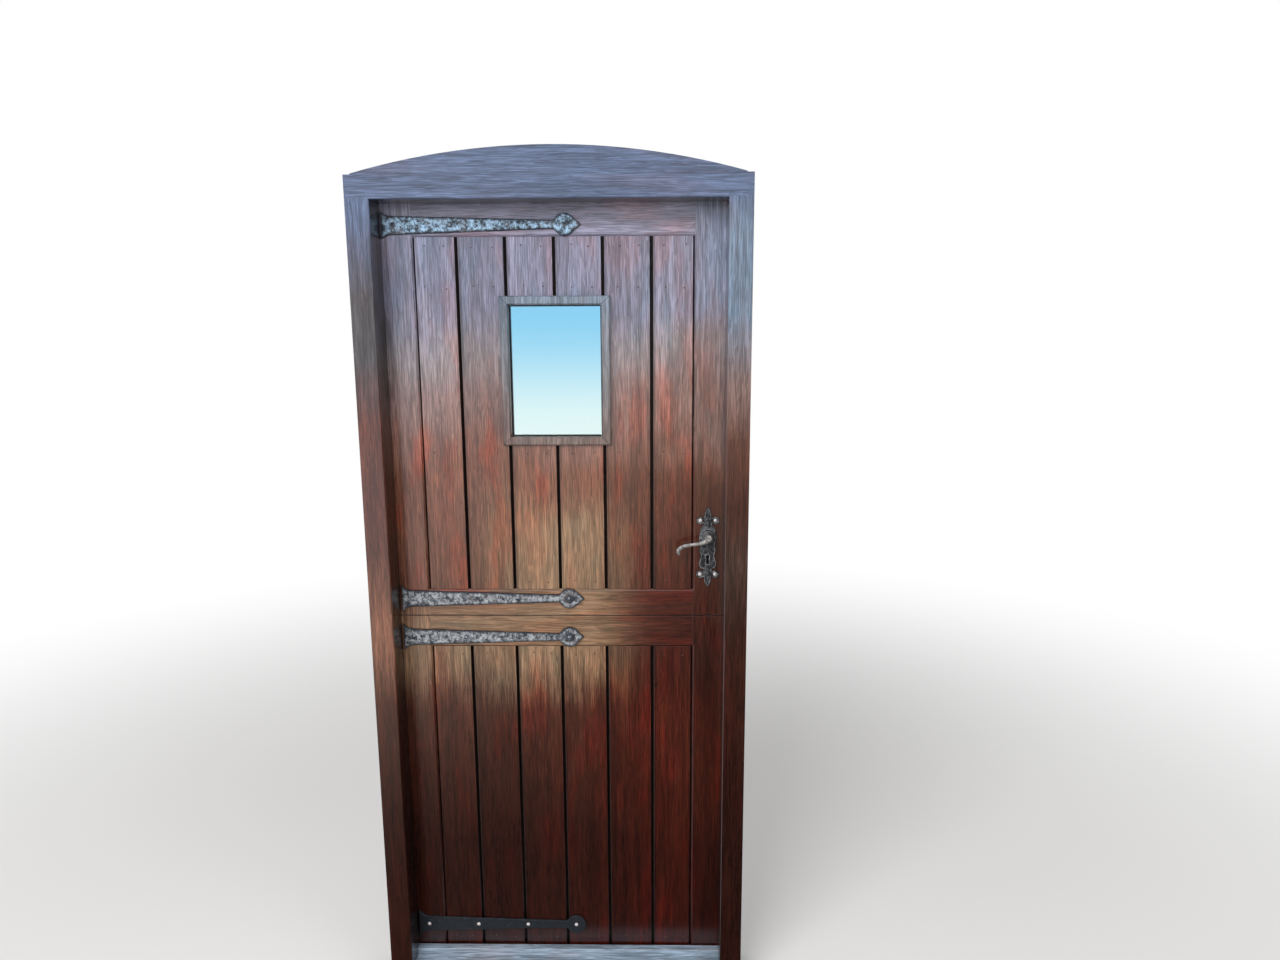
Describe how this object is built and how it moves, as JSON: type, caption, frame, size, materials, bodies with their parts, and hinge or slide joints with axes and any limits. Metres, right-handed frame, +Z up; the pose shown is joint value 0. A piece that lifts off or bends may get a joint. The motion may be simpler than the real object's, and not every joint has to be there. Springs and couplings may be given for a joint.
{
  "type": "two-leaf boarded front door with frame",
  "caption": "Boarded stable door of two leaves in a rebated timber frame with sill and segmental arched head, small window, strap fronts, lever lock and bolts.",
  "frame": {"origin": "on the sill's underside, midway between the jambs, in the plane of the frame's outside face", "axes": "+X to the right seen from outside, +Y into the house, +Z up"},
  "size_m": [0.932, 0.1965, 2.136],
  "materials": {
    "stained_timber": "dark red-brown gloss woodstain, grain showing, worn lighter at the arrises",
    "sill_timber": "dark brown gloss woodstain, weathered",
    "worn_iron": "hammered black iron, worn grey on its high spots",
    "black_iron": "smooth black paint, satin",
    "bright_steel": "bright zinc",
    "glass": "clear sealed unit",
    "seal_rubber": "matte brown"
  },
  "bodies": {
    "frame": {"sill": "sill_timber", "left_jamb": "stained_timber", "right_jamb": "stained_timber", "head": "stained_timber", "arch_infill": "stained_timber", "draught_seal": "seal_rubber", "frame_hinge_flaps": "bright_steel", "lock_keep": "bright_steel", "foot_bolt_keep": "black_iron", "frame_screws": "bright_steel"},
    "upper_leaf": {"upper_hinge_stile": "stained_timber", "upper_lock_stile": "stained_timber", "top_rail": "stained_timber", "upper_meeting_rail": "stained_timber", "upper_board_1": "stained_timber", "upper_board_2": "stained_timber", "upper_board_3_above": "stained_timber", "upper_board_3_below": "stained_timber", "upper_board_4_above": "stained_timber", "upper_board_4_below": "stained_timber", "upper_board_5": "stained_timber", "upper_board_6": "stained_timber", "window_framing": "stained_timber", "glazing_unit": "glass", "outer_beads": "stained_timber", "inner_beads": "stained_timber", "lock_case": "bright_steel", "upper_hinge_flaps": "bright_steel", "top_strap": "worn_iron", "split_strap": "worn_iron", "outside_plate": "worn_iron", "inside_plate": "worn_iron", "join_bolt_base": "black_iron", "upper_screws": "bright_steel"},
    "lever": {"outside_lever": "worn_iron", "inside_lever": "worn_iron", "spindle": "bright_steel", "follower": "bright_steel"},
    "latch": {"latch_bolt": "bright_steel"},
    "deadbolt": {"deadbolt": "bright_steel"},
    "join_bolt": {"join_bolt": "black_iron"},
    "lower_leaf": {"lower_hinge_stile": "stained_timber", "lower_lock_stile": "stained_timber", "lower_meeting_rail": "stained_timber", "lower_board_1": "stained_timber", "lower_board_2": "stained_timber", "lower_board_3": "stained_timber", "lower_board_4": "stained_timber", "lower_board_5": "stained_timber", "lower_board_6": "stained_timber", "foot_ledge": "stained_timber", "brace": "stained_timber", "lower_hinge_flaps": "bright_steel", "middle_strap": "worn_iron", "foot_strap": "black_iron", "join_bolt_keep": "black_iron", "foot_bolt_base": "black_iron", "lower_screws": "bright_steel"},
    "foot_bolt": {"foot_bolt": "black_iron"}
  },
  "joints": [
    {"name": "upper_leaf_swing", "type": "hinge", "parent": "frame", "child": "upper_leaf", "pos_m": [-0.4205, 0.127, 1.5], "axis": [0, 0, 1], "range_deg": [0, 100]},
    {"name": "lower_leaf_swing", "type": "hinge", "parent": "frame", "child": "lower_leaf", "pos_m": [-0.4205, 0.127, 0.5], "axis": [0, 0, 1], "range_deg": [0, 100]},
    {"name": "lever_turn", "type": "hinge", "parent": "upper_leaf", "child": "lever", "pos_m": [0.373, 0.099, 1.2175], "axis": [0, -1, 0], "range_deg": [0, 30], "stiffness_Nm_per_rad": 1.5, "springref_deg": -20.05},
    {"name": "latch_slide", "type": "slide", "parent": "upper_leaf", "child": "latch", "axis": [-1, 0, 0], "range_m": [0, 0.01]},
    {"name": "deadbolt_slide", "type": "slide", "parent": "upper_leaf", "child": "deadbolt", "axis": [1, 0, 0], "range_m": [0, 0.014]},
    {"name": "join_bolt_slide", "type": "slide", "parent": "upper_leaf", "child": "join_bolt", "axis": [0, 0, -1], "range_m": [0, 0.03]},
    {"name": "foot_bolt_slide", "type": "slide", "parent": "lower_leaf", "child": "foot_bolt", "axis": [1, 0, 0], "range_m": [0, 0.03]}
  ],
  "couplings": [
    {"joint": "latch_slide", "follows": "lever_turn", "m_per_rad": 0.019099}
  ]
}
